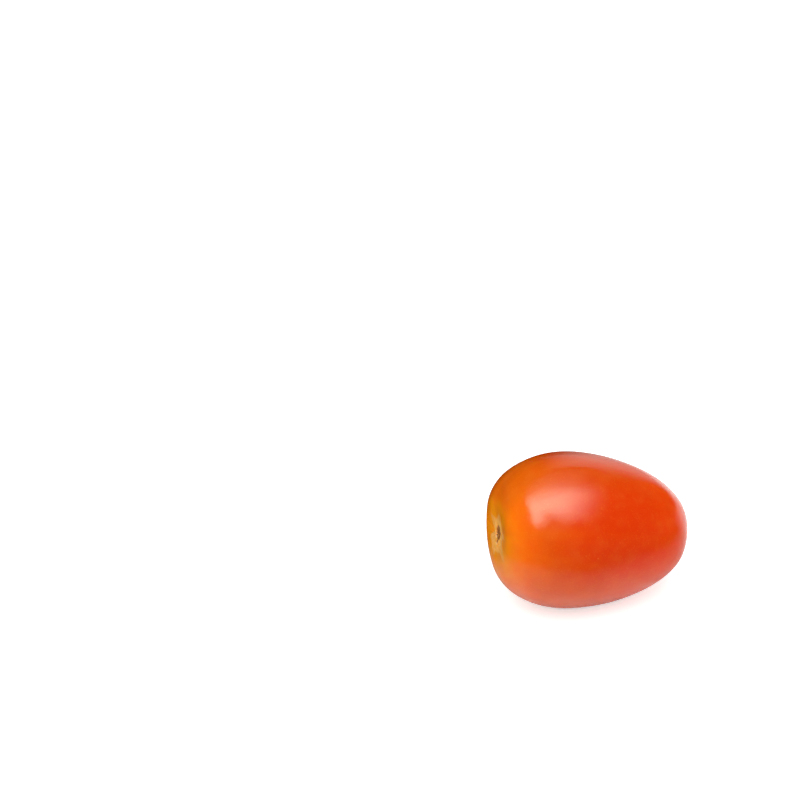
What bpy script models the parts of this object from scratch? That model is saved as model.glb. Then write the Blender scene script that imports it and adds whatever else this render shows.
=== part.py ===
"""A ripe plum cherry tomato, picked without its stalk and lying on its side.

The fruit is one solid. It is shaped along its own length first, the stem end toward -X and the
blossom end toward +X, then tilted to the lean at which such a fruit comes to rest, and cut by
the surface it lies on, which leaves a small flat spot under its weight. The origin is the
middle of that flat spot, and +Z is up.
"""
import math

import bmesh
import bpy
import numpy as np
from mathutils import Matrix, Vector

MM = 0.001

# Body, in millimetres: half the length before the stem end is pressed in, and the radius at mid length
HALF_LENGTH = 18.05
GIRTH_RADIUS = 12.5

# Egg taper: fuller a third of the way from the stem, slimmer two thirds of the way
EGG_TAPER = 0.042

# Three soft lobes, one for each seed chamber, that fade away from the stem end
LOBES = 3
LOBE_RISE = 0.020
LOBE_TURN = math.radians(141)

# Stem end, in millimetres: a broad hollow with a narrower funnel in it, a little below the middle
SCAR_DROP = 1.0
SCAR_DROP_SPREAD = 0.28
HOLLOW_DEPTH = 4.36
HOLLOW_RADIUS = 7.4
FUNNEL_DEPTH = 0.35
FUNNEL_RADIUS = 2.6

# Corky scar where the stalk let go, in millimetres: a sunken disc with a small boss in it
SCAR_RADIUS = 1.25
SCAR_DEPTH = 0.22
SCAR_EDGE_POWER = 8
BOSS_RADIUS = 0.5
BOSS_HEIGHT = 0.14

# Blossom end, in millimetres: a shallow pit round the dry point that the flower left
PIT_RADIUS = 2.4
PIT_DEPTH = 0.16
POINT_RADIUS = 0.8
POINT_HEIGHT = 0.14

# Flat spot that it rests on, in millimetres, and the range of leans that is searched for rest
FLAT_DEPTH = 0.18
LEAN_LIMIT = math.radians(25)
LEAN_STEPS = 501

# Mesh: rings along the fruit, crowded toward both ends and most of all at the scar
SEGMENTS = 48
RINGS = 52
STEM_CROWDING = 0.2
END_CROWDING = 0.45
OUTLINE_POINTS = 2001

SKIN_COLOUR = (0.72, 0.050, 0.008, 1.0)
SKIN_ROUGHNESS = 0.28


def clear_scene():
    """Remove whatever the scene holds."""
    for existing in list(bpy.data.objects):
        bpy.data.objects.remove(existing, do_unlink=True)


def body_radius(along, around):
    """Radius of the body at the angle along, which runs from 0 at the stem to pi."""
    taper = 1 - EGG_TAPER * math.cos(3 * along)
    toward_stem = (1 + math.cos(along)) / 2
    lobes = 1 + LOBE_RISE * toward_stem**2 * math.cos(LOBES * (around - LOBE_TURN))
    return GIRTH_RADIUS * math.sin(along) * taper * lobes


def centre_height(along):
    """Height of the rings' centres: they drop toward the stem end, down to the scar."""
    return -SCAR_DROP * math.exp(-((along / SCAR_DROP_SPREAD) ** 2))


def bell(distance, radius):
    """Bell curve that is 1 in the middle and 1/e at the radius."""
    return math.exp(-((distance / radius) ** 2))


def stem_end_sink(distance):
    """How far the stem end is pressed in at a distance from the scar's middle."""
    hollow = HOLLOW_DEPTH * bell(distance, HOLLOW_RADIUS) + FUNNEL_DEPTH * bell(distance, FUNNEL_RADIUS)
    scar = SCAR_DEPTH / (1 + (distance / SCAR_RADIUS) ** SCAR_EDGE_POWER)
    return hollow + scar - BOSS_HEIGHT * bell(distance, BOSS_RADIUS)


def blossom_end_rise(distance):
    """How far the blossom end stands out at a distance from its point, less the pit round it."""
    return POINT_HEIGHT * bell(distance, POINT_RADIUS) - PIT_DEPTH * bell(distance, PIT_RADIUS)


def fruit_point(along, around):
    """Point of the skin, in millimetres, before the fruit is leaned over.

    An ellipse is turned about X, with its radius swelled by the egg taper and by the lobes. The
    rings are shifted down toward the scar, and each end is pressed in or drawn out along X by
    its own relief, which fades to nothing at the other end.
    """
    radius = body_radius(along, around)
    y = radius * math.cos(around)
    z = radius * math.sin(around) + centre_height(along)
    toward_stem = (1 + math.cos(along)) / 2
    sink = stem_end_sink(math.hypot(y, z - centre_height(0))) * toward_stem**4
    rise = blossom_end_rise(math.hypot(y, z)) * (1 - toward_stem) ** 4
    return Vector((sink + rise - HALF_LENGTH * math.cos(along), y, z))


def crowded(even):
    """Angle along the fruit of a ring that is evenly spaced from 0 at the stem to pi."""
    toward_stem = STEM_CROWDING * math.sin(even)
    toward_ends = END_CROWDING * math.sin(2 * even) / 2
    return even - toward_stem - toward_ends


def model_fruit():
    """Shape a sphere into the fruit: its lower pole becomes the stem end, toward -X."""
    mesh = bmesh.new()
    bmesh.ops.create_uvsphere(mesh, u_segments=SEGMENTS, v_segments=RINGS, radius=1.0)
    for vert in mesh.verts:
        even = math.acos(max(-1.0, min(1.0, -vert.co.z)))
        around = math.atan2(vert.co.y, vert.co.x)
        vert.co = fruit_point(crowded(even), around)
    return mesh


def centre_of_mass(mesh):
    """Centre of the solid: the mean of the tetrahedra between its triangles and the origin."""
    volume = 0.0
    moment = Vector()
    for loops in mesh.calc_loop_triangles():
        a, b, c = (loop.vert.co for loop in loops)
        piece = a.dot(b.cross(c)) / 6
        volume += piece
        moment += piece * (a + b + c) / 4
    return moment / volume


def resting_lean(balance):
    """Lean at which the centre of mass, balance, is lowest over the fruit's underside."""
    along = np.linspace(0, math.pi, OUTLINE_POINTS)
    underside = np.array([fruit_point(angle, -math.pi / 2) for angle in along])
    leans = np.linspace(0, LEAN_LIMIT, LEAN_STEPS)
    sine = np.sin(leans)
    cosine = np.cos(leans)
    lowest = (underside[:, 2, None] * cosine - underside[:, 0, None] * sine).min(axis=0)
    height = balance.z * cosine - balance.x * sine - lowest
    return float(leans[height.argmin()])


def lean_over(mesh, lean):
    """Raise the stem end, at -X, by the lean."""
    bmesh.ops.rotate(mesh, verts=mesh.verts, cent=Vector(), matrix=Matrix.Rotation(lean, 3, "Y"))


def cut_flat_spot(mesh):
    """Cut the underside level, close it with one flat face and put that face's middle at 0."""
    height = min(vert.co.z for vert in mesh.verts) + FLAT_DEPTH
    bmesh.ops.translate(mesh, verts=mesh.verts, vec=Vector((0, 0, -height)))
    cut = bmesh.ops.bisect_plane(
        mesh,
        geom=mesh.verts[:] + mesh.edges[:] + mesh.faces[:],
        plane_co=Vector(),
        plane_no=Vector((0, 0, -1)),
        clear_outer=True,
    )
    rim = [item for item in cut["geom_cut"] if isinstance(item, bmesh.types.BMEdge)]
    flat = bmesh.ops.edgenet_fill(mesh, edges=rim)["faces"][0]
    middle = flat.calc_center_median_weighted()
    bmesh.ops.translate(mesh, verts=mesh.verts, vec=-middle)
    return flat


def skin_material():
    """Shiny orange-red skin."""
    skin = bpy.data.materials.new("tomato_skin")
    skin.use_nodes = True
    shader = skin.node_tree.nodes["Principled BSDF"]
    shader.inputs["Base Color"].default_value = SKIN_COLOUR
    shader.inputs["Roughness"].default_value = SKIN_ROUGHNESS
    shader.inputs["Metallic"].default_value = 0.0
    return skin


def build_tomato():
    """Make the fruit, in metres, at rest on its flat spot."""
    mesh = model_fruit()
    lean_over(mesh, resting_lean(centre_of_mass(mesh)))
    flat = cut_flat_spot(mesh)
    for face in mesh.faces:
        face.smooth = face is not flat
    bmesh.ops.scale(mesh, verts=mesh.verts, vec=Vector((MM, MM, MM)))
    bmesh.ops.recalc_face_normals(mesh, faces=mesh.faces)
    data = bpy.data.meshes.new("tomato")
    mesh.to_mesh(data)
    mesh.free()
    data.materials.append(skin_material())
    tomato = bpy.data.objects.new("tomato", data)
    bpy.context.scene.collection.objects.link(tomato)
    return tomato


clear_scene()
build_tomato()
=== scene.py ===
import math

import bpy
import numpy as np
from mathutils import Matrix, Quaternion, Vector


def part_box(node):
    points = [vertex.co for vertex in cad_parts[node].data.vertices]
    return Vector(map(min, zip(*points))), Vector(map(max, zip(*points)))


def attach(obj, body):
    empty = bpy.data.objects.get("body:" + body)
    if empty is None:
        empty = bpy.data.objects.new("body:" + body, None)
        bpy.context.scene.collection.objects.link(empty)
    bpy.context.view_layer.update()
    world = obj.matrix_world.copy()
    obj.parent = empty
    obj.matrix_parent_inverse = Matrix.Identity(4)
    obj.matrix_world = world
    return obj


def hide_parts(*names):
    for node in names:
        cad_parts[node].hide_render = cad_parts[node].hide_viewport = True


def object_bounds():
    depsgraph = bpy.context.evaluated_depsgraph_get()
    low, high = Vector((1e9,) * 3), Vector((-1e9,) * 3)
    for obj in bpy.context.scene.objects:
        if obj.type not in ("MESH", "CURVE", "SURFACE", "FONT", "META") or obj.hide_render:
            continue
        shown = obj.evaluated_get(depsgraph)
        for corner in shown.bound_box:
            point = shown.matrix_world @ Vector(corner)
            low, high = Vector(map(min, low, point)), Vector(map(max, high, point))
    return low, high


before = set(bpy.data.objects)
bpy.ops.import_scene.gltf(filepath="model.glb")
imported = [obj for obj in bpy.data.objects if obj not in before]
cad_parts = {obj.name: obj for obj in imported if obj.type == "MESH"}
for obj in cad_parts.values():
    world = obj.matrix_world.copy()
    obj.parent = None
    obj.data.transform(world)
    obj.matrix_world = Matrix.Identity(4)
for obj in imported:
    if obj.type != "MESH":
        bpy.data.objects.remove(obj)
cad_low, cad_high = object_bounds()

# The tomato. It grew as one body: a thin shiny skin over firm flesh, swelled softly by three seed
# chambers and hollowed at the end where the stalk held it. It was picked off its stalk, which left
# a corky scar, and it lies on its side, pressed a little flat where it touches the surface.

MM = 0.001

# Body, in millimetres, along its own length from the stem end at -X to the blossom end at +X
HALF_LENGTH = 18.05
GIRTH_RADIUS = 12.5
EGG_TAPER = 0.042
EGG_WAVES = 3
LOBES = 3
LOBE_RISE = 0.020
LOBE_TURN = math.radians(141)
LOBE_FADE = 2

# Hollow of the stem end, in millimetres. The scar sits a little below and behind the middle.
SCAR_DROP = 1.15
SCAR_BACK = 0.40
SCAR_DROP_SPREAD = 0.28
HOLLOW_DEPTH = 4.36
HOLLOW_RADIUS = 7.4
FUNNEL_DEPTH = 0.06
FUNNEL_RADIUS = 2.6

# Shallow pit of the blossom end with a raised point in it, in millimetres
PIT_DEPTH = 0.16
PIT_RADIUS = 2.4
POINT_HEIGHT = 0.14
POINT_RADIUS = 0.8
END_FADE = 4


def bell(distance, radius):
    """Bell curve: 1 in the middle, 1/e at the radius."""
    return np.exp(-((distance / radius) ** 2))


def fruit_body(along, around):
    """Smooth fruit: an ellipse turned about X, its radius swelled by an egg taper and three lobes.

    The angle along runs from 0 at the stem end to pi, and around turns from +Y toward +Z. The
    rings are shifted down and back toward the scar. Each end is pressed in or drawn out along X
    by bell curves round its middle, which fade to nothing at the other end.
    """
    toward_stem = (1 + np.cos(along)) / 2
    lobes = 1 + LOBE_RISE * toward_stem**LOBE_FADE * np.cos(LOBES * (around - LOBE_TURN))
    radius = GIRTH_RADIUS * np.sin(along) * (1 - EGG_TAPER * np.cos(EGG_WAVES * along)) * lobes
    shift = bell(along, SCAR_DROP_SPREAD)
    y = radius * np.cos(around) + SCAR_BACK * shift
    z = radius * np.sin(around) - SCAR_DROP * shift
    from_scar = np.hypot(y - SCAR_BACK, z + SCAR_DROP)
    hollow = HOLLOW_DEPTH * bell(from_scar, HOLLOW_RADIUS)
    hollow += FUNNEL_DEPTH * bell(from_scar, FUNNEL_RADIUS)
    from_point = np.hypot(y, z)
    rise = POINT_HEIGHT * bell(from_point, POINT_RADIUS) - PIT_DEPTH * bell(from_point, PIT_RADIUS)
    x = hollow * toward_stem**END_FADE + rise * (1 - toward_stem) ** END_FADE
    x -= HALF_LENGTH * np.cos(along)
    return np.stack([x, y, z], axis=-1)


# Corky scar, in millimetres: an upright drop, fuller above and with a tail below, ragged, rough
# and sunken, with a boss in it and a raised lip round it. A ripple has a height, a count and a
# start, and a bulge, such as the tail, has a height, a turn and a width.
SCAR_RADIUS = 1.12
SCAR_STRETCH = 0.12
SCAR_LEAN = math.radians(-14)
SCAR_EGG = 0.20
SCAR_RAG = ((0.06, 7, 1.0), (0.05, 11, 4.0), (0.04, 17, 0.0))
SCAR_TAIL = (0.8, math.radians(-92), 0.25)
SCAR_DEPTH = 0.22
SCAR_EDGE = 0.10
CORK_GRAIN = 0.05
CORK_WAVE = 0.45
CORK_WAVES = 40
BOSS_RADIUS = 0.5
BOSS_HEIGHT = 0.14
LIP_WIDTH = 0.30
LIP_HEIGHT = 0.06

# Print that the five sepals left round the scar, in millimetres: a thin tan skin with five points,
# one drawn out long and one made broad, and shorter on one side. Its edge and the lines of the
# sepals' ribs are a little raised, and fine puckers run out from the scar.
SEPALS = 5
SEPAL_TURN = 0.37
SEPAL_SHIFT = ((0.6, 2, 0.0),)
PRINT_RADIUS = 2.6
PRINT_POINT = 1.1
POINTS_UNEVEN = ((0.3, 1, 0.5), (0.2, 2, 2.0))
LONG_POINT = (3.0, math.radians(-147), 0.15)
BROAD_POINT = (0.9, math.radians(-78), 0.45)
SHORT_SIDE = (-1.1, math.radians(-25), 0.6)
PRINT_EDGE = 0.40
PRINT_RAG = 0.20
PRINT_WAVE = 1.1
PRINT_WAVES = 30
PRINT_FADE = 5.0
PRINT_FADE_POWER = 6
PRINT_HEIGHT = 0.018
RIB_HEIGHT = 0.03
RIB_POWER = 8
PUCKERS = 31
PUCKER_SHIFT = ((2.0, 3, 0.0),)
FINE_PUCKERS = ((0.6, 47, 1.0),)
PUCKER_HEIGHT = 0.018
PUCKER_RADIUS = 3.2

# Lengths of the plane waves in an unevenness, as shares of its wavelength
WAVE_SHARES = (0.7, 1.4)


def waves(points, wavelength, count, seed):
    """Smooth unevenness between about -1 and 1: a sum of plane waves with drawn directions."""
    draw = np.random.default_rng(seed)
    directions = draw.normal(size=(3, count))
    directions /= np.linalg.norm(directions, axis=0)
    lengths = wavelength * draw.uniform(*WAVE_SHARES, count)
    phases = draw.uniform(0, 2 * math.pi, count)
    turns = points @ (directions * 2 * math.pi / lengths) + phases
    return np.sin(turns).sum(axis=-1) * math.sqrt(2 / count) / 2


def ripples(around, parts):
    """Sum of sine waves round the fruit, each given by its height, its count and its start."""
    return sum(height * np.sin(count * around + start) for height, count, start in parts)


def bulge(around, height, turn, width):
    """Bell curve with a height and a width over the angle from a turn, between -pi and pi."""
    from_turn = np.angle(np.exp(1j * (around - turn)))
    return height * bell(from_turn, width)


def inside(distance, edge, softness):
    """Soft mask: 1 well inside an edge and 0 well outside it, with a slope of 1 / softness there."""
    return 1 / (1 + np.exp((distance - edge) / softness * 4))


def cork_edge(around):
    """Radius of the cork: a ragged circle, made taller than wide and fuller above, plus its tail."""
    shape = ripples(around, SCAR_RAG)
    shape += SCAR_EGG * np.sin(around) - SCAR_STRETCH * np.cos(2 * (around - SCAR_LEAN))
    return SCAR_RADIUS * (1 + shape) + bulge(around, *SCAR_TAIL)


def stem_marks(points, around):
    """Masks of the cork and of the sepals' print, and how far they stand out, in millimetres.

    The cork is sunk by its mask, roughened by waves, and raised by bell curves for the boss and
    the lip. The print's radius swings out to five points by a cosine. Both only count at the
    stem end.
    """
    away = np.hypot(points[..., 1] - SCAR_BACK, points[..., 2] + SCAR_DROP)
    at_stem = points[..., 0] < 0
    edge = cork_edge(around)
    cork = at_stem * inside(away, edge, SCAR_EDGE)
    height = BOSS_HEIGHT * bell(away, BOSS_RADIUS) - SCAR_DEPTH * cork
    height += CORK_GRAIN * cork * waves(points, CORK_WAVE, CORK_WAVES, seed=3)
    height += LIP_HEIGHT * bell(away - edge - LIP_WIDTH, LIP_WIDTH)

    sepal_angle = SEPALS * (around - SEPAL_TURN) + ripples(around, SEPAL_SHIFT)
    swing = ((1 + np.cos(sepal_angle)) / 2) ** 2
    reach = PRINT_RADIUS + PRINT_POINT * (1 + ripples(around, POINTS_UNEVEN)) * swing
    reach += PRINT_RAG * waves(points, PRINT_WAVE, PRINT_WAVES, seed=5)
    for part in (LONG_POINT, BROAD_POINT, SHORT_SIDE):
        reach += bulge(around, *part)
    fade = 1 + (away / PRINT_FADE) ** PRINT_FADE_POWER
    sepal_print = at_stem * inside(away, reach, PRINT_EDGE) / fade
    ribs = swing**RIB_POWER * bell(away, PRINT_RADIUS + PRINT_POINT) * (1 - cork)
    height += PRINT_HEIGHT * bell(away - reach, PRINT_EDGE) + RIB_HEIGHT * ribs
    pucker = np.sin(PUCKERS * around + ripples(around, PUCKER_SHIFT)) + ripples(around, FINE_PUCKERS)
    height += PUCKER_HEIGHT * pucker * bell(away, PUCKER_RADIUS) * (1 - cork)
    return cork, sepal_print, at_stem * height


# Dry point of the blossom end, in millimetres, and the paler ring round it
DRY_RADIUS = 0.32
DRY_RAG = ((0.15, 5, 1.0), (0.12, 8, 2.0))
DRY_EDGE = 0.12
DRY_HOLLOW = 0.05
DRY_RING = 1.0


def end_marks(points, around):
    """Masks of the dry point and of the paler ring round it at the blossom end, and its height.

    The dry point is a small ragged disc, a little hollow, where the flower's style broke off.
    """
    away = np.hypot(points[..., 1], points[..., 2])
    at_end = points[..., 0] > 0
    edge = DRY_RADIUS * (1 + ripples(around, DRY_RAG))
    dry = at_end * inside(away, edge, DRY_EDGE)
    return dry, at_end * bell(away, DRY_RING), -DRY_HOLLOW * dry


# Gentle unevenness of the skin, longer along the fruit than round it, and its fine grain, in
# millimetres
SWELL_HEIGHT = 0.060
SWELL_WAVE = 5.5
SWELL_STRETCH = 2.2
SWELL_WAVES = 24
FINE_HEIGHT = 0.0035
FINE_WAVE = 0.8
FINE_WAVES = 60

# Lean at which it rests, how softly the skin bends into the pressed spot, in millimetres, and how
# far it stays inside the box of the solid on each side
RESTING_LEAN = math.radians(10.2)
PRESS_SOFTNESS = 0.04
BOX_MARGIN = 0.01

# Grid of the skin, rings along the fruit by columns round it. The fibres are drawn out along it,
# and the tiny length keeps the poles, where a ring is one point, from dividing by 0.
ROWS = 256
COLUMNS = 384
STEM_CROWDING = 0.15
END_CROWDING = 0.55
FIBRE_STRETCH = 4
TINY = 1e-12


def crowded(even):
    """Angles of the rings: even ones less a sine and a double sine, which crowds them toward both
    ends, and most of all at the scar."""
    return even - STEM_CROWDING * np.sin(even) - END_CROWDING * np.sin(2 * even) / 2


def outward(points):
    """Unit normals of a grid of rings by columns, by central differences along and around it.

    The poles get none.
    """
    along_step = np.gradient(points, axis=0)
    around_step = np.roll(points, -1, axis=1) - np.roll(points, 1, axis=1)
    normals = np.cross(around_step, along_step)
    return normals / np.maximum(np.linalg.norm(normals, axis=-1, keepdims=True), TINY)


def laid_down(points, low, high):
    """Points leaned over to rest, fitted to the box from low to high and pressed flat underneath.

    They are turned about Y, stretched along X and Y to the box, and set with their top at its top.
    The press is a soft maximum of each height and the height of the floor.
    """
    cosine, sine = math.cos(RESTING_LEAN), math.sin(RESTING_LEAN)
    x = points[..., 0] * cosine + points[..., 2] * sine
    z = points[..., 2] * cosine - points[..., 0] * sine
    leaned = np.stack([x, points[..., 1], z], axis=-1)
    least, most = leaned.min(axis=(0, 1)), leaned.max(axis=(0, 1))
    scale = (high - low)[:2] / (most - least)[:2]
    leaned[..., :2] = low[:2] + (leaned[..., :2] - least[:2]) * scale
    level = leaned[..., 2] + high[2] - most[2] - low[2]
    leaned[..., 2] = low[2] + (level + np.hypot(level, PRESS_SOFTNESS)) / 2
    return leaned


def ring_mesh(name, points):
    """Closed mesh of rings by columns: quads between rings, and fans at the two poles."""
    rings, columns = points.shape[0] - 2, points.shape[1]
    verts = np.concatenate([points[0, :1], points[1:-1].reshape(-1, 3), points[-1, :1]])
    column = np.arange(columns)
    beside = (column + 1) % columns
    ring = 1 + np.arange(rings - 1)[:, None] * columns
    ring_after = ring + columns
    quads = np.stack([ring + column, ring + beside, ring_after + beside, ring_after + column], -1)
    last = 1 + (rings - 1) * columns
    stem_fan = np.stack([np.zeros_like(column), 1 + beside, 1 + column], -1)
    end_fan = np.stack([np.full_like(column, len(verts) - 1), last + column, last + beside], -1)
    faces = quads.reshape(-1, 4).tolist() + stem_fan.tolist() + end_fan.tolist()
    mesh = bpy.data.meshes.new(name)
    mesh.from_pydata(verts, [], faces)
    mesh.shade_smooth()
    return mesh


def keep_values(mesh, name, values):
    """Store one value, or one vector, for each vertex of a ring mesh under a name."""
    vector = values.ndim == 3
    flat = np.concatenate([values[0, :1].ravel(), values[1:-1].ravel(), values[-1, :1].ravel()])
    kept = mesh.attributes.new(name, "FLOAT_VECTOR" if vector else "FLOAT", "POINT")
    kept.data.foreach_set("vector" if vector else "value", flat.astype(np.float32))


along, around = np.meshgrid(
    crowded(np.linspace(0, math.pi, ROWS + 1)),
    np.linspace(0, 2 * math.pi, COLUMNS, endpoint=False),
    indexing="ij",
)
body = fruit_body(along, around)
cork, sepal_print, stem_height = stem_marks(body, around)
dry_point, dry_ring, end_height = end_marks(body, around)
swell = SWELL_HEIGHT * waves(body / (SWELL_STRETCH, 1, 1), SWELL_WAVE, SWELL_WAVES, seed=11)
fine = FINE_HEIGHT * waves(body, FINE_WAVE, FINE_WAVES, seed=12)
relief = stem_height + end_height + (swell + fine) * (1 - cork)
skin_points = body + outward(body) * relief[..., None]
skin_points[0], skin_points[-1] = skin_points[1].mean(axis=0), skin_points[-2].mean(axis=0)
steps = np.linalg.norm(np.diff(body, axis=0), axis=-1)
from_scar = np.concatenate([np.zeros((1, COLUMNS)), np.cumsum(steps, axis=0)])

low, high = (np.array(corner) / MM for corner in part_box("tomato"))
laid = laid_down(skin_points, low + BOX_MARGIN, high - BOX_MARGIN) * MM
tomato_mesh = ring_mesh("tomato_skin", laid)
keep_values(tomato_mesh, "from_scar", from_scar)
keep_values(tomato_mesh, "cork", cork)
keep_values(tomato_mesh, "sepal_print", sepal_print)
keep_values(tomato_mesh, "dry_point", dry_point)
keep_values(tomato_mesh, "dry_ring", dry_ring)
fibre_way = np.stack([np.cos(around), np.sin(around), along / FIBRE_STRETCH], axis=-1)
keep_values(tomato_mesh, "fibre", fibre_way)
tomato = bpy.data.objects.new("tomato_skin", tomato_mesh)
bpy.context.scene.collection.objects.link(tomato)


def feed(tree, socket, item):
    """Link an input socket to an output socket, or set it to a value."""
    if isinstance(item, bpy.types.NodeSocket):
        tree.links.new(item, socket)
    else:
        socket.default_value = item


def add(tree, kind, label, **values):
    """New node of a kind. Values feed its inputs, with spaces as underscores, or set its properties."""
    node = tree.nodes.new(kind)
    node.label = label
    for name, value in values.items():
        socket = name.replace("_", " ")
        if socket in node.inputs:
            feed(tree, node.inputs[socket], value)
        else:
            setattr(node, name, value)
    return node


def value_of(tree, name, output="Fac"):
    """Value kept on the mesh under a name."""
    return add(tree, "ShaderNodeAttribute", name, attribute_name=name).outputs[output]


def noise(tree, coordinates, label, scale, detail=2.0, roughness=0.5):
    """Noise value on given coordinates."""
    grain = {"Vector": coordinates, "Scale": scale, "Detail": detail, "Roughness": roughness}
    return add(tree, "ShaderNodeTexNoise", label, **grain).outputs["Fac"]


def graded(tree, source, low, high, to_low=0.0, to_high=1.0):
    """Smooth step of a value, from one number at low to another at high."""
    limits = {"From_Min": low, "From_Max": high, "To_Min": to_low, "To_Max": to_high}
    grade = add(tree, "ShaderNodeMapRange", "grade", interpolation_type="SMOOTHSTEP", **limits)
    feed(tree, grade.inputs["Value"], source)
    return grade.outputs["Result"]


def worked(tree, operation, *items):
    """Math node on one or two sockets or numbers."""
    node = add(tree, "ShaderNodeMath", operation.lower(), operation=operation)
    for socket, item in zip(node.inputs, items):
        feed(tree, socket, item)
    return node.outputs[0]


def product(tree, first, *others):
    """Product of sockets and numbers."""
    for other in others:
        first = worked(tree, "MULTIPLY", first, other)
    return first


def pointing(tree, way, direction):
    """How far a way points in a direction: their dot product."""
    node = add(tree, "ShaderNodeVectorMath", "pointing", operation="DOT_PRODUCT")
    feed(tree, node.inputs[0], way)
    feed(tree, node.inputs[1], direction)
    return node.outputs["Value"]


# Places of a Mix node's sockets. It has a pair for numbers and a pair for colours with the same names.
NUMBER_UNDER, NUMBER_OVER, NUMBER_OUT = 2, 3, 0
COLOUR_UNDER, COLOUR_OVER, COLOUR_OUT = 6, 7, 2


def blended(tree, mask, under, over):
    """Number that is the first where the mask is 0 and the second where it is 1."""
    node = add(tree, "ShaderNodeMix", "blend", data_type="FLOAT", Factor=mask)
    feed(tree, node.inputs[NUMBER_UNDER], under)
    feed(tree, node.inputs[NUMBER_OVER], over)
    return node.outputs[NUMBER_OUT]


def laid_over(tree, mask, under, over):
    """Colour with another over it where the mask is 1."""
    node = add(tree, "ShaderNodeMix", "lay over", data_type="RGBA", Factor=mask)
    feed(tree, node.inputs[COLOUR_UNDER], under)
    feed(tree, node.inputs[COLOUR_OVER], over)
    return node.outputs[COLOUR_OUT]


# Colours of the skin from the scar to the blossom end, each with its distance in millimetres. The two
# stops nearest the scar are also made brighter, as painted light that lifts the shade in the stem
# hollow.
RIPENING = [
    (0.0, (1.0, 0.340, 0.006)),
    (5.0, (1.0, 0.290, 0.0005)),
    (8.0, (0.93, 0.175, 0.0)),
    (11.0, (0.83, 0.115, 0.0)),
    (15.0, (0.71, 0.084, 0.0)),
    (22.0, (0.68, 0.068, 0.0)),
    (32.0, (0.78, 0.062, 0.0)),
    (42.0, (0.96, 0.074, 0.0)),
]
SKIN_LENGTH = 46.0
WANDER_SCALE = 190
WANDER_REACH = 5.0
NOISE_MIDDLE = 0.5

# The front, a little above the middle, is painted redder and less yellow, as painted shade where the
# skin mirrors the dark room and shows no pale sheen. The upper shoulder at the back is made darker and
# olive: partly the skin's own olive tone, partly painted shade where less light falls. Here and further
# down, a grade is a start and an end, and where they aren't 0 and 1 the values at both.
# Redder front: painted shade where the skin mirrors the dark room.
SHEENLESS_FRONT_COLOUR = (0.70, 0.022, 0.0, 1)
SHEENLESS_FRONT_SIDE = (-0.90, 0.43, 0.0)
SHEENLESS_FRONT_FACING = (0.62, 1.0)
SHEENLESS_FRONT_START = (10.0, 22.0)
SHEENLESS_FRONT_END = (28.0, 42.0, 0.60, 0.20)
# Darker olive shoulder: partly the skin's own tone, partly painted shade.
OLIVE_AND_SHADE_COLOUR = (0.70, 0.120, 0.0, 1)
OLIVE_AND_SHADE_SIDE = (0.50, 0.87, 0.0)
OLIVE_AND_SHADE_FACING = (0.20, 0.90)
OLIVE_AND_SHADE_START = (5.0, 8.0)
OLIVE_AND_SHADE_END = (10.0, 18.0, 0.85, 0.0)


def ripening_colour(tree, place, fibre, reach):
    """Colour by the distance from the scar, then painted shade over it: a redder front where the skin
    mirrors the dark room, and a darker olive shoulder, partly shade.

    Noise makes the distance wander a little to and fro.
    """
    wander = worked(tree, "SUBTRACT", noise(tree, place, "wander", WANDER_SCALE), NOISE_MIDDLE)
    wandered = worked(tree, "ADD", reach, product(tree, wander, WANDER_REACH))
    ramp = add(tree, "ShaderNodeValToRGB", "ripening")
    feed(tree, ramp.inputs["Fac"], worked(tree, "DIVIDE", wandered, SKIN_LENGTH))
    stops = ramp.color_ramp.elements
    stops[1].position = RIPENING[-1][0] / SKIN_LENGTH
    stops[1].color = (*RIPENING[-1][1], 1)
    stops[0].color = (*RIPENING[0][1], 1)
    for distance, colour in RIPENING[1:-1]:
        stops.new(distance / SKIN_LENGTH).color = (*colour, 1)
    colour = ramp.outputs["Color"]

    # Painted shade: redder where the skin faces the dark room in front.
    sheenless_front = graded(tree, pointing(tree, fibre, SHEENLESS_FRONT_SIDE), *SHEENLESS_FRONT_FACING)
    sheenless_front = product(tree, sheenless_front, graded(tree, reach, *SHEENLESS_FRONT_START), graded(tree, reach, *SHEENLESS_FRONT_END))
    colour = laid_over(tree, sheenless_front, colour, SHEENLESS_FRONT_COLOUR)
    # Partly painted shade: darker and olive on the upper back shoulder.
    olive_and_shade = graded(tree, pointing(tree, fibre, OLIVE_AND_SHADE_SIDE), *OLIVE_AND_SHADE_FACING)
    olive_and_shade = product(tree, olive_and_shade, graded(tree, reach, *OLIVE_AND_SHADE_START), graded(tree, reach, *OLIVE_AND_SHADE_END))
    return laid_over(tree, olive_and_shade, colour, OLIVE_AND_SHADE_COLOUR)


# Pale marks in the skin. The streaks and the flecks are strongest near the scar.
STREAK_COLOUR = (0.84, 0.16, 0.002, 1)
STREAK_SCALE = 3.5
STREAK_GRADE = (0.40, 0.80)
STREAK_FADE = (4.0, 24.0, 0.45, 0.10)
FLECK_COLOUR = (0.90, 0.24, 0.02, 1)
CLOUD_SCALE = 420
CLOUD_GRADE = (0.40, 0.75, 0.0, 0.07)
FLECK_SCALE = 3600
FLECK_GRADE = (0.55, 0.75)
FLECK_FADE = (3.0, 22.0, 0.24, 0.09)
SPECK_COLOUR = (0.92, 0.36, 0.10, 1)
SPECK_SCALE = 560.0
SPECK_SIZE = 0.08
SPECK_POWER = 3.0
SPECK_GRADE = (-0.04, 0.02, 0.22, 0.0)


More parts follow.
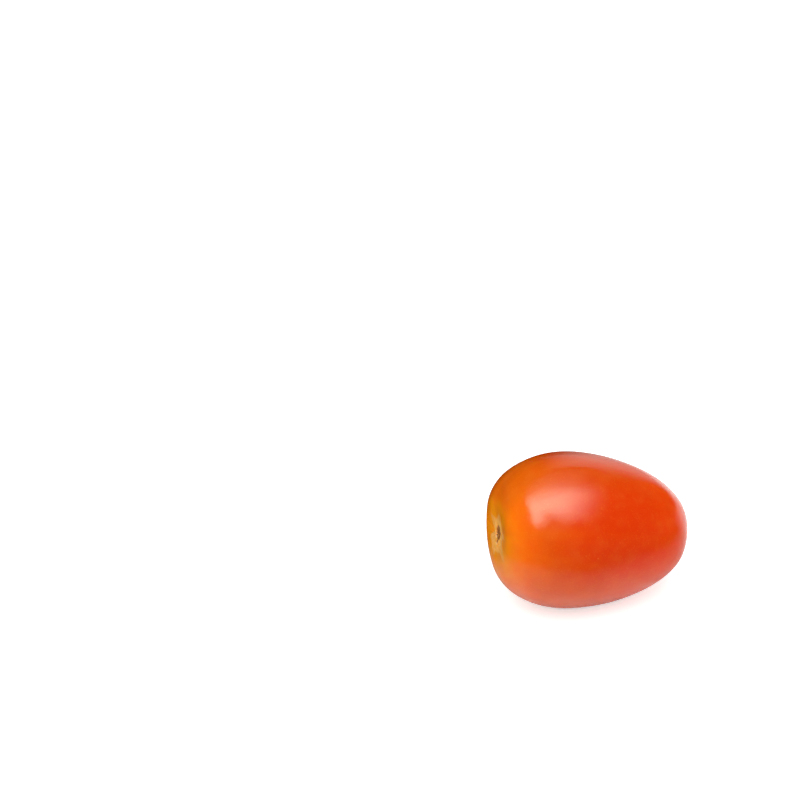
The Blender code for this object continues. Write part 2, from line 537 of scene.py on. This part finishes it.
def marked_colour(tree, colour, place, fibre, reach):
    """Colour with streaks along the fibres over it, faint clouds, fine flecks and round specks.

    A speck is a spot in the middle of a Voronoi cell. Its size is the cell's random value to a
    power, so that few are large.
    """
    streaks = graded(tree, noise(tree, fibre, "streaks", STREAK_SCALE, detail=3.0), *STREAK_GRADE)
    streaks = product(tree, streaks, graded(tree, reach, *STREAK_FADE))
    colour = laid_over(tree, streaks, colour, STREAK_COLOUR)
    cloud = graded(tree, noise(tree, place, "cloud", CLOUD_SCALE, detail=3.0), *CLOUD_GRADE)
    colour = laid_over(tree, cloud, colour, FLECK_COLOUR)
    flecks = graded(tree, noise(tree, place, "flecks", FLECK_SCALE, detail=1.0), *FLECK_GRADE)
    flecks = product(tree, flecks, graded(tree, reach, *FLECK_FADE))
    colour = laid_over(tree, flecks, colour, FLECK_COLOUR)
    cells = add(tree, "ShaderNodeTexVoronoi", "specks", Vector=place, Scale=SPECK_SCALE)
    lot = add(tree, "ShaderNodeSeparateColor", "lot", Color=cells.outputs["Color"])
    size = product(tree, worked(tree, "POWER", lot.outputs[0], SPECK_POWER), SPECK_SIZE)
    from_edge = worked(tree, "SUBTRACT", cells.outputs["Distance"], size)
    return laid_over(tree, graded(tree, from_edge, *SPECK_GRADE), colour, SPECK_COLOUR)


# Patchy tan print and grained cork of the stem end, and the dry point in its ring at the other end
PRINT_COLOUR = (0.98, 0.48, 0.115, 1)
PATCH_SCALE = 1100
PATCH_GRADE = (0.30, 0.62, 0.35, 0.95)
CORK_COLOUR = (0.52, 0.180, 0.008, 1)
CORK_DARK = (0.20, 0.060, 0.002, 1)
CORK_SCALE = 2200
CORK_GRADE = (0.35, 0.62)
RING_COLOUR = (0.92, 0.20, 0.01, 1)
RING_STRENGTH = 0.5
DRY_COLOUR = (0.20, 0.060, 0.010, 1)


def ends_colour(tree, colour, place, cork_mask, dry_mask):
    """Colour with the print, the cork, the paler ring and the dry point over it."""
    patches = noise(tree, place, "print patches", PATCH_SCALE, detail=4.0, roughness=0.6)
    patches = product(tree, value_of(tree, "sepal_print"), graded(tree, patches, *PATCH_GRADE))
    colour = laid_over(tree, patches, colour, PRINT_COLOUR)
    grain = graded(tree, noise(tree, place, "cork grain", CORK_SCALE, detail=4.0), *CORK_GRADE)
    colour = laid_over(tree, cork_mask, colour, laid_over(tree, grain, CORK_DARK, CORK_COLOUR))
    ring = product(tree, value_of(tree, "dry_ring"), RING_STRENGTH)
    colour = laid_over(tree, ring, colour, RING_COLOUR)
    return laid_over(tree, dry_mask, colour, DRY_COLOUR)


# Finish: a waxy shine that varies a little, dull cork, a faint peel, and flesh that light enters
WAX_SCALE = 420
WAX_ROUGHNESS = (0.3, 0.7, 0.155, 0.20)
CORK_ROUGHNESS = 0.60
PEEL_SCALE = 1800
PEEL_STRENGTH = 0.5
PEEL_DEPTH = 0.00002
SKIN_IOR = 1.52
FLESH_WEIGHT = 0.35
FLESH_RADIUS = (1.0, 0.22, 0.08)
FLESH_SCALE = 0.003


def skin_material():
    """Tomato skin: shiny and faintly see-through, yellow round the scar and red toward the end."""
    skin = bpy.data.materials.new("tomato_skin")
    skin.use_nodes = True
    tree = skin.node_tree
    shader = tree.nodes["Principled BSDF"]
    place = add(tree, "ShaderNodeTexCoord", "place").outputs["Object"]
    fibre = value_of(tree, "fibre", "Vector")
    reach = value_of(tree, "from_scar")
    cork_mask = value_of(tree, "cork")
    dry_mask = value_of(tree, "dry_point")

    colour = ripening_colour(tree, place, fibre, reach)
    colour = marked_colour(tree, colour, place, fibre, reach)
    colour = ends_colour(tree, colour, place, cork_mask, dry_mask)
    feed(tree, shader.inputs["Base Color"], colour)

    wax = graded(tree, noise(tree, place, "wax", WAX_SCALE, detail=3.0), *WAX_ROUGHNESS)
    dry = worked(tree, "MAXIMUM", cork_mask, dry_mask)
    feed(tree, shader.inputs["Roughness"], blended(tree, dry, wax, CORK_ROUGHNESS))

    peel = add(tree, "ShaderNodeBump", "peel", Strength=PEEL_STRENGTH, Distance=PEEL_DEPTH)
    feed(tree, peel.inputs["Height"], noise(tree, place, "peel", PEEL_SCALE, detail=3.0))
    feed(tree, shader.inputs["Normal"], peel.outputs["Normal"])

    shader.inputs["IOR"].default_value = SKIN_IOR
    shader.inputs["Subsurface Weight"].default_value = FLESH_WEIGHT
    shader.inputs["Subsurface Radius"].default_value = FLESH_RADIUS
    shader.inputs["Subsurface Scale"].default_value = FLESH_SCALE
    return skin


tomato_mesh.materials.append(skin_material())
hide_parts("tomato")
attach(tomato, "root")

# The floor. A plain pale matt surface that the fruit lies on, wide enough that its far edge is
# never seen. It glows to the eye, as a light table does, and a little to the shine, and matt light
# finds it somewhat darker.

FLOOR_HALF = 3.0
FLOOR_COLOUR = (0.95, 0.95, 0.94, 1)
FLOOR_BOUNCE = (0.79, 0.80, 0.78, 1)
FLOOR_GLOW = 0.60
FLOOR_SHINE = 0.16
MATT_ROUGHNESS = 0.9
BLACK = (0.0, 0.0, 0.0, 1)


def sheet(name, verts, faces):
    """Flat piece of the studio from its corners and faces, in metres."""
    mesh = bpy.data.meshes.new(name)
    mesh.from_pydata(verts, [], faces)
    piece = bpy.data.objects.new(name, mesh)
    bpy.context.scene.collection.objects.link(piece)
    return piece


def rectangle(low, high, height):
    """Corners and face of a level rectangle between two corners."""
    corners = [(low[0], low[1]), (high[0], low[1]), (high[0], high[1]), (low[0], high[1])]
    return [(x, y, height) for x, y in corners], [(0, 1, 2, 3)]


def plain_material(name, colour):
    """Matt material of one colour, without any shine."""
    plain = bpy.data.materials.new(name)
    plain.use_nodes = True
    shader = plain.node_tree.nodes["Principled BSDF"]
    shader.inputs["Base Color"].default_value = colour
    shader.inputs["Roughness"].default_value = MATT_ROUGHNESS
    shader.inputs["Specular IOR Level"].default_value = 0.0
    return plain


def floor_material():
    """Pale matt surface: darker to matt light, glowing to the eye, and a little to the shine."""
    pale = plain_material("floor", FLOOR_COLOUR)
    tree = pale.node_tree
    shader = tree.nodes["Principled BSDF"]
    ray = add(tree, "ShaderNodeLightPath", "ray")
    colour = laid_over(tree, ray.outputs["Is Diffuse Ray"], FLOOR_COLOUR, FLOOR_BOUNCE)
    feed(tree, shader.inputs["Base Color"], colour)
    in_shine = product(tree, ray.outputs["Is Glossy Ray"], FLOOR_SHINE)
    seen = worked(tree, "MAXIMUM", ray.outputs["Is Camera Ray"], in_shine)
    feed(tree, shader.inputs["Emission Color"], laid_over(tree, seen, BLACK, FLOOR_COLOUR))
    shader.inputs["Emission Strength"].default_value = FLOOR_GLOW
    return pale


floor = sheet("floor", *rectangle((-FLOOR_HALF, -FLOOR_HALF), (FLOOR_HALF, FLOOR_HALF), 0.0))
floor.data.materials.append(floor_material())

# The flag. Black cloth lies just over the floor round the fruit, and only the shine sees it, so the
# fruit mirrors pale floor close under it and dark room above. Behind on the right the cloth is open
# close by, and covers about half further off.

# Radii in metres from the middle. The cover grows from the inner one to the closed one, and the
# closed one is further out at the sides, most of all on the right.
FLAG_MIDDLE = (0.002, 0.0)
FLAG_HEIGHT = 0.0005
FLAG_INNER = 0.012
FLAG_CLOSED = 0.027
FLAG_LONGER = 0.022
FLAG_RIGHT = 0.12
FLAG_RIGHT_POWER = 3
FLAG_BEHIND = 0.004
FLAG_FAR = 0.28
FLAG_OUTER = 2.5
FLAG_FAR_COVER = 0.55

# Bearings, counted from the front (-Y) toward +X: the two ends of the full cloth, where it widens
# on the right, where it turns behind on the left, and where a thin cover starts at the inner edge
FLAG_FROM = math.radians(-214)
FLAG_TO = math.radians(108)
FLAG_STEPS = 109
FLAG_END_FADE = math.radians(18)
FLAG_WIDENS = math.radians(50)
FLAG_BACK_FROM = math.radians(-80)
FLAG_BACK_FADE = math.radians(50)
FLAG_THIN = 0.33
FLAG_THIN_RIGHT = (math.radians(10), math.radians(65))
FLAG_THIN_LEFT = (math.radians(-80), math.radians(-98))


def rings(middle, loops, bearing, height):
    """Level rings between loops of radii, one for each bearing, counted from the front (-Y) to +X."""
    spoke = np.stack([np.sin(bearing), -np.cos(bearing)], -1)
    edge = np.concatenate([spoke * np.broadcast_to(radius, bearing.shape)[:, None] for radius in loops])
    edge += middle
    corner = np.arange(len(bearing) - 1) + np.arange(len(loops) - 1)[:, None] * len(bearing)
    outer = corner + len(bearing)
    faces = np.stack([corner, outer, outer + 1, corner + 1], -1)
    return np.column_stack([edge, np.full(len(edge), height)]), faces.reshape(-1, 4)


def flag_material():
    """Black cloth that covers as much as the value "cover" says, from nothing at 0 to all at 1."""
    cloth = plain_material("flag", BLACK)
    tree = cloth.node_tree
    gap = add(tree, "ShaderNodeBsdfTransparent", "gap")
    weave = add(tree, "ShaderNodeMixShader", "weave")
    feed(tree, weave.inputs[0], value_of(tree, "cover"))
    feed(tree, weave.inputs[1], gap.outputs[0])
    feed(tree, weave.inputs[2], tree.nodes["Principled BSDF"].outputs[0])
    feed(tree, tree.nodes["Material Output"].inputs["Surface"], weave.outputs[0])
    return cloth


def only_for_shine(piece):
    """Hide a stage piece from everything but the shine."""
    piece.visible_camera = False
    piece.visible_diffuse = False
    piece.visible_transmission = False
    piece.visible_shadow = False


bearing = np.linspace(FLAG_FROM, FLAG_FROM + 2 * math.pi, FLAG_STEPS)
toward_end = np.clip((bearing - FLAG_WIDENS) / (FLAG_TO - FLAG_WIDENS), 0, 1)
behind = np.clip((FLAG_BACK_FROM - bearing) / FLAG_BACK_FADE, 0, 1)
closed = FLAG_CLOSED + FLAG_RIGHT * toward_end**FLAG_RIGHT_POWER + FLAG_BEHIND * behind
closed += FLAG_LONGER * np.abs(np.sin(bearing)) * (1 - behind)
flag_loops = (FLAG_INNER, closed, FLAG_FAR, FLAG_OUTER)
flag = sheet("flag", *rings(FLAG_MIDDLE, flag_loops, bearing, FLAG_HEIGHT))
ends = np.clip(np.minimum(bearing - FLAG_FROM, FLAG_TO - bearing) / FLAG_END_FADE, 0, 1)
thin_right = np.interp(bearing, FLAG_THIN_RIGHT, (0, FLAG_THIN))
thin_left = np.interp(-bearing, [-turn for turn in FLAG_THIN_LEFT], (0, FLAG_THIN))
thin = np.maximum(thin_right, thin_left)
far = np.maximum(ends, FLAG_FAR_COVER)
cover = flag.data.attributes.new("cover", "FLOAT", "POINT")
cover.data.foreach_set("value", np.concatenate([thin * ends, ends, far, far]).astype(np.float32))
flag.data.materials.append(flag_material())
only_for_shine(flag)

# The light. A wide soft light falls from above, a little in front, and a weaker even light fills
# from all round. The shine sees a faintly blue-green softbox overhead, in a dark room with one
# narrow pale wall behind on the right.

SUN_STRENGTH = 2.53
SUN_SPREAD = math.radians(75)
SUN_FROM = (-0.20, -0.42, 0.88)

sun_data = bpy.data.lights.new("soft_light", "SUN")
sun_data.energy = SUN_STRENGTH
sun_data.angle = SUN_SPREAD
sun = bpy.data.objects.new("soft_light", sun_data)
sun.rotation_euler = Vector(SUN_FROM).to_track_quat("Z", "Y").to_euler()
sun.visible_glossy = False
bpy.context.scene.collection.objects.link(sun)

# Softbox, in metres: its corners and height, and the grades by which its glow fades at each side.
# The left and the front edge are slanted, the front one has a notch, and the rear keeps a haze.
BOX_LOW = (-1.0, -1.0)
BOX_HIGH = (0.46, 0.45)
BOX_HEIGHT = 0.50
BOX_STRENGTH = 6.4
BOX_COLOUR = (0.70, 0.97, 0.88, 1)
BOX_LEFT = (-0.53, -0.38)
BOX_LEFT_SLANT = 0.60
BOX_RIGHT = (-0.12, BOX_HIGH[0], 1.0, 0.0)
BOX_FRONT = (-0.70, -0.16)
BOX_FRONT_SLANT = 0.12
BOX_NOTCH = -0.27
BOX_NOTCH_GRADE = (0.0, 0.20, 0.13, 0.0)
BOX_REAR = (-0.10, 0.23, 1.0, 0.10)
BOX_HAZE = (0.23, BOX_HIGH[1], 1.0, 0.0)


def softbox_material():
    """Glowing cloth: the product of a smooth grade at each side, on its own coordinates."""
    cloth = bpy.data.materials.new("softbox")
    cloth.use_nodes = True
    tree = cloth.node_tree
    tree.nodes.remove(tree.nodes["Principled BSDF"])
    place = add(tree, "ShaderNodeTexCoord", "place").outputs["Object"]
    split = add(tree, "ShaderNodeSeparateXYZ", "split", Vector=place)
    across, deep = split.outputs["X"], split.outputs["Y"]
    from_left = worked(tree, "SUBTRACT", across, product(tree, deep, BOX_LEFT_SLANT))
    from_notch = worked(tree, "ABSOLUTE", worked(tree, "SUBTRACT", across, BOX_NOTCH))
    from_front = worked(tree, "SUBTRACT", deep, product(tree, across, BOX_FRONT_SLANT))
    from_front = worked(tree, "SUBTRACT", from_front, graded(tree, from_notch, *BOX_NOTCH_GRADE))
    sides = product(tree, graded(tree, from_left, *BOX_LEFT), graded(tree, across, *BOX_RIGHT))
    rear = product(tree, graded(tree, deep, *BOX_REAR), graded(tree, deep, *BOX_HAZE))
    ends = product(tree, graded(tree, from_front, *BOX_FRONT), rear)
    glow = add(tree, "ShaderNodeEmission", "glow", Color=BOX_COLOUR)
    feed(tree, glow.inputs["Strength"], product(tree, sides, ends, BOX_STRENGTH))
    feed(tree, tree.nodes["Material Output"].inputs["Surface"], glow.outputs[0])
    return cloth


softbox = sheet("softbox", *rectangle(BOX_LOW, BOX_HIGH, BOX_HEIGHT))
softbox.data.materials.append(softbox_material())
only_for_shine(softbox)

# Room: the strength of its fill, its backdrop and its dark, and the wall by the direction that it
# lies in, with the grades of how squarely a ray meets it and how far it passes to a side
FILL_STRENGTH = 0.43
BACKDROP_STRENGTH = 1.0
ROOM_DARK = 0.01
WALL_AHEAD = (0.53, 0.85, 0.0)
WALL_ASIDE = (0.85, -0.53, 0.0)
WALL_FACING = (0.40, 0.70)
WALL_WIDTH = (0.08, 0.40, 0.75, 0.0)


def room_light():
    """World: pale to the eye, even fill for matt light, and a dark room with a pale wall for shine."""
    world = bpy.data.worlds.new("room")
    bpy.context.scene.world = world
    world.use_nodes = True
    tree = world.node_tree
    background = tree.nodes["Background"]
    way = add(tree, "ShaderNodeTexCoord", "way").outputs["Generated"]
    to_side = worked(tree, "ABSOLUTE", pointing(tree, way, WALL_ASIDE))
    wall = graded(tree, pointing(tree, way, WALL_AHEAD), *WALL_FACING)
    wall = product(tree, graded(tree, to_side, *WALL_WIDTH), wall)
    ray = add(tree, "ShaderNodeLightPath", "ray")
    in_shine = worked(tree, "ADD", wall, ROOM_DARK)
    strength = blended(tree, ray.outputs["Is Glossy Ray"], FILL_STRENGTH, in_shine)
    strength = blended(tree, ray.outputs["Is Camera Ray"], strength, BACKDROP_STRENGTH)
    feed(tree, background.inputs["Strength"], strength)
    background.inputs["Color"].default_value = (1, 1, 1, 1)


room_light()
bpy.context.scene.view_settings.view_transform = "Standard"

# The camera. It looks down on the fruit from the front and a little from the left, so that the stem
# end shows, and it is rolled by half a degree. The fruit lies to the right and below the middle of
# the picture, as in the photograph.

PICTURE_SIDE = 800
FOCAL_PIXELS = 2790.6
SENSOR = 36.0
DISTANCE = 0.450
FRUIT_PIXEL = (589.6, 525.9)
AXIS_TURN = math.radians(-15.75)
AXIS_TILT = math.radians(28.14)
ROLL = math.radians(-0.57)
CLIP_NEAR = 0.01
CLIP_FAR = 10.0

camera_data = bpy.data.cameras.new("camera")
camera_data.sensor_width = SENSOR
camera_data.lens = FOCAL_PIXELS / PICTURE_SIDE * SENSOR
camera_data.clip_start = CLIP_NEAR
camera_data.clip_end = CLIP_FAR
camera = bpy.data.objects.new("camera", camera_data)
level = math.cos(AXIS_TILT)
back = Vector((math.sin(AXIS_TURN) * level, -math.cos(AXIS_TURN) * level, math.sin(AXIS_TILT)))
facing = (-back).to_track_quat("-Z", "Y") @ Quaternion((0, 0, 1), ROLL)
right, up = facing @ Vector((1, 0, 0)), facing @ Vector((0, 1, 0))
fruit_right = (FRUIT_PIXEL[0] - PICTURE_SIDE / 2) / FOCAL_PIXELS
fruit_down = (FRUIT_PIXEL[1] - PICTURE_SIDE / 2) / FOCAL_PIXELS
toward_fruit = (right * fruit_right - up * fruit_down - back).normalized()
middle = (Vector(cad_low) + Vector(cad_high)) / 2
camera.location = middle - toward_fruit * DISTANCE
camera.rotation_mode = "QUATERNION"
camera.rotation_quaternion = facing
bpy.context.scene.collection.objects.link(camera)
bpy.context.scene.camera = camera
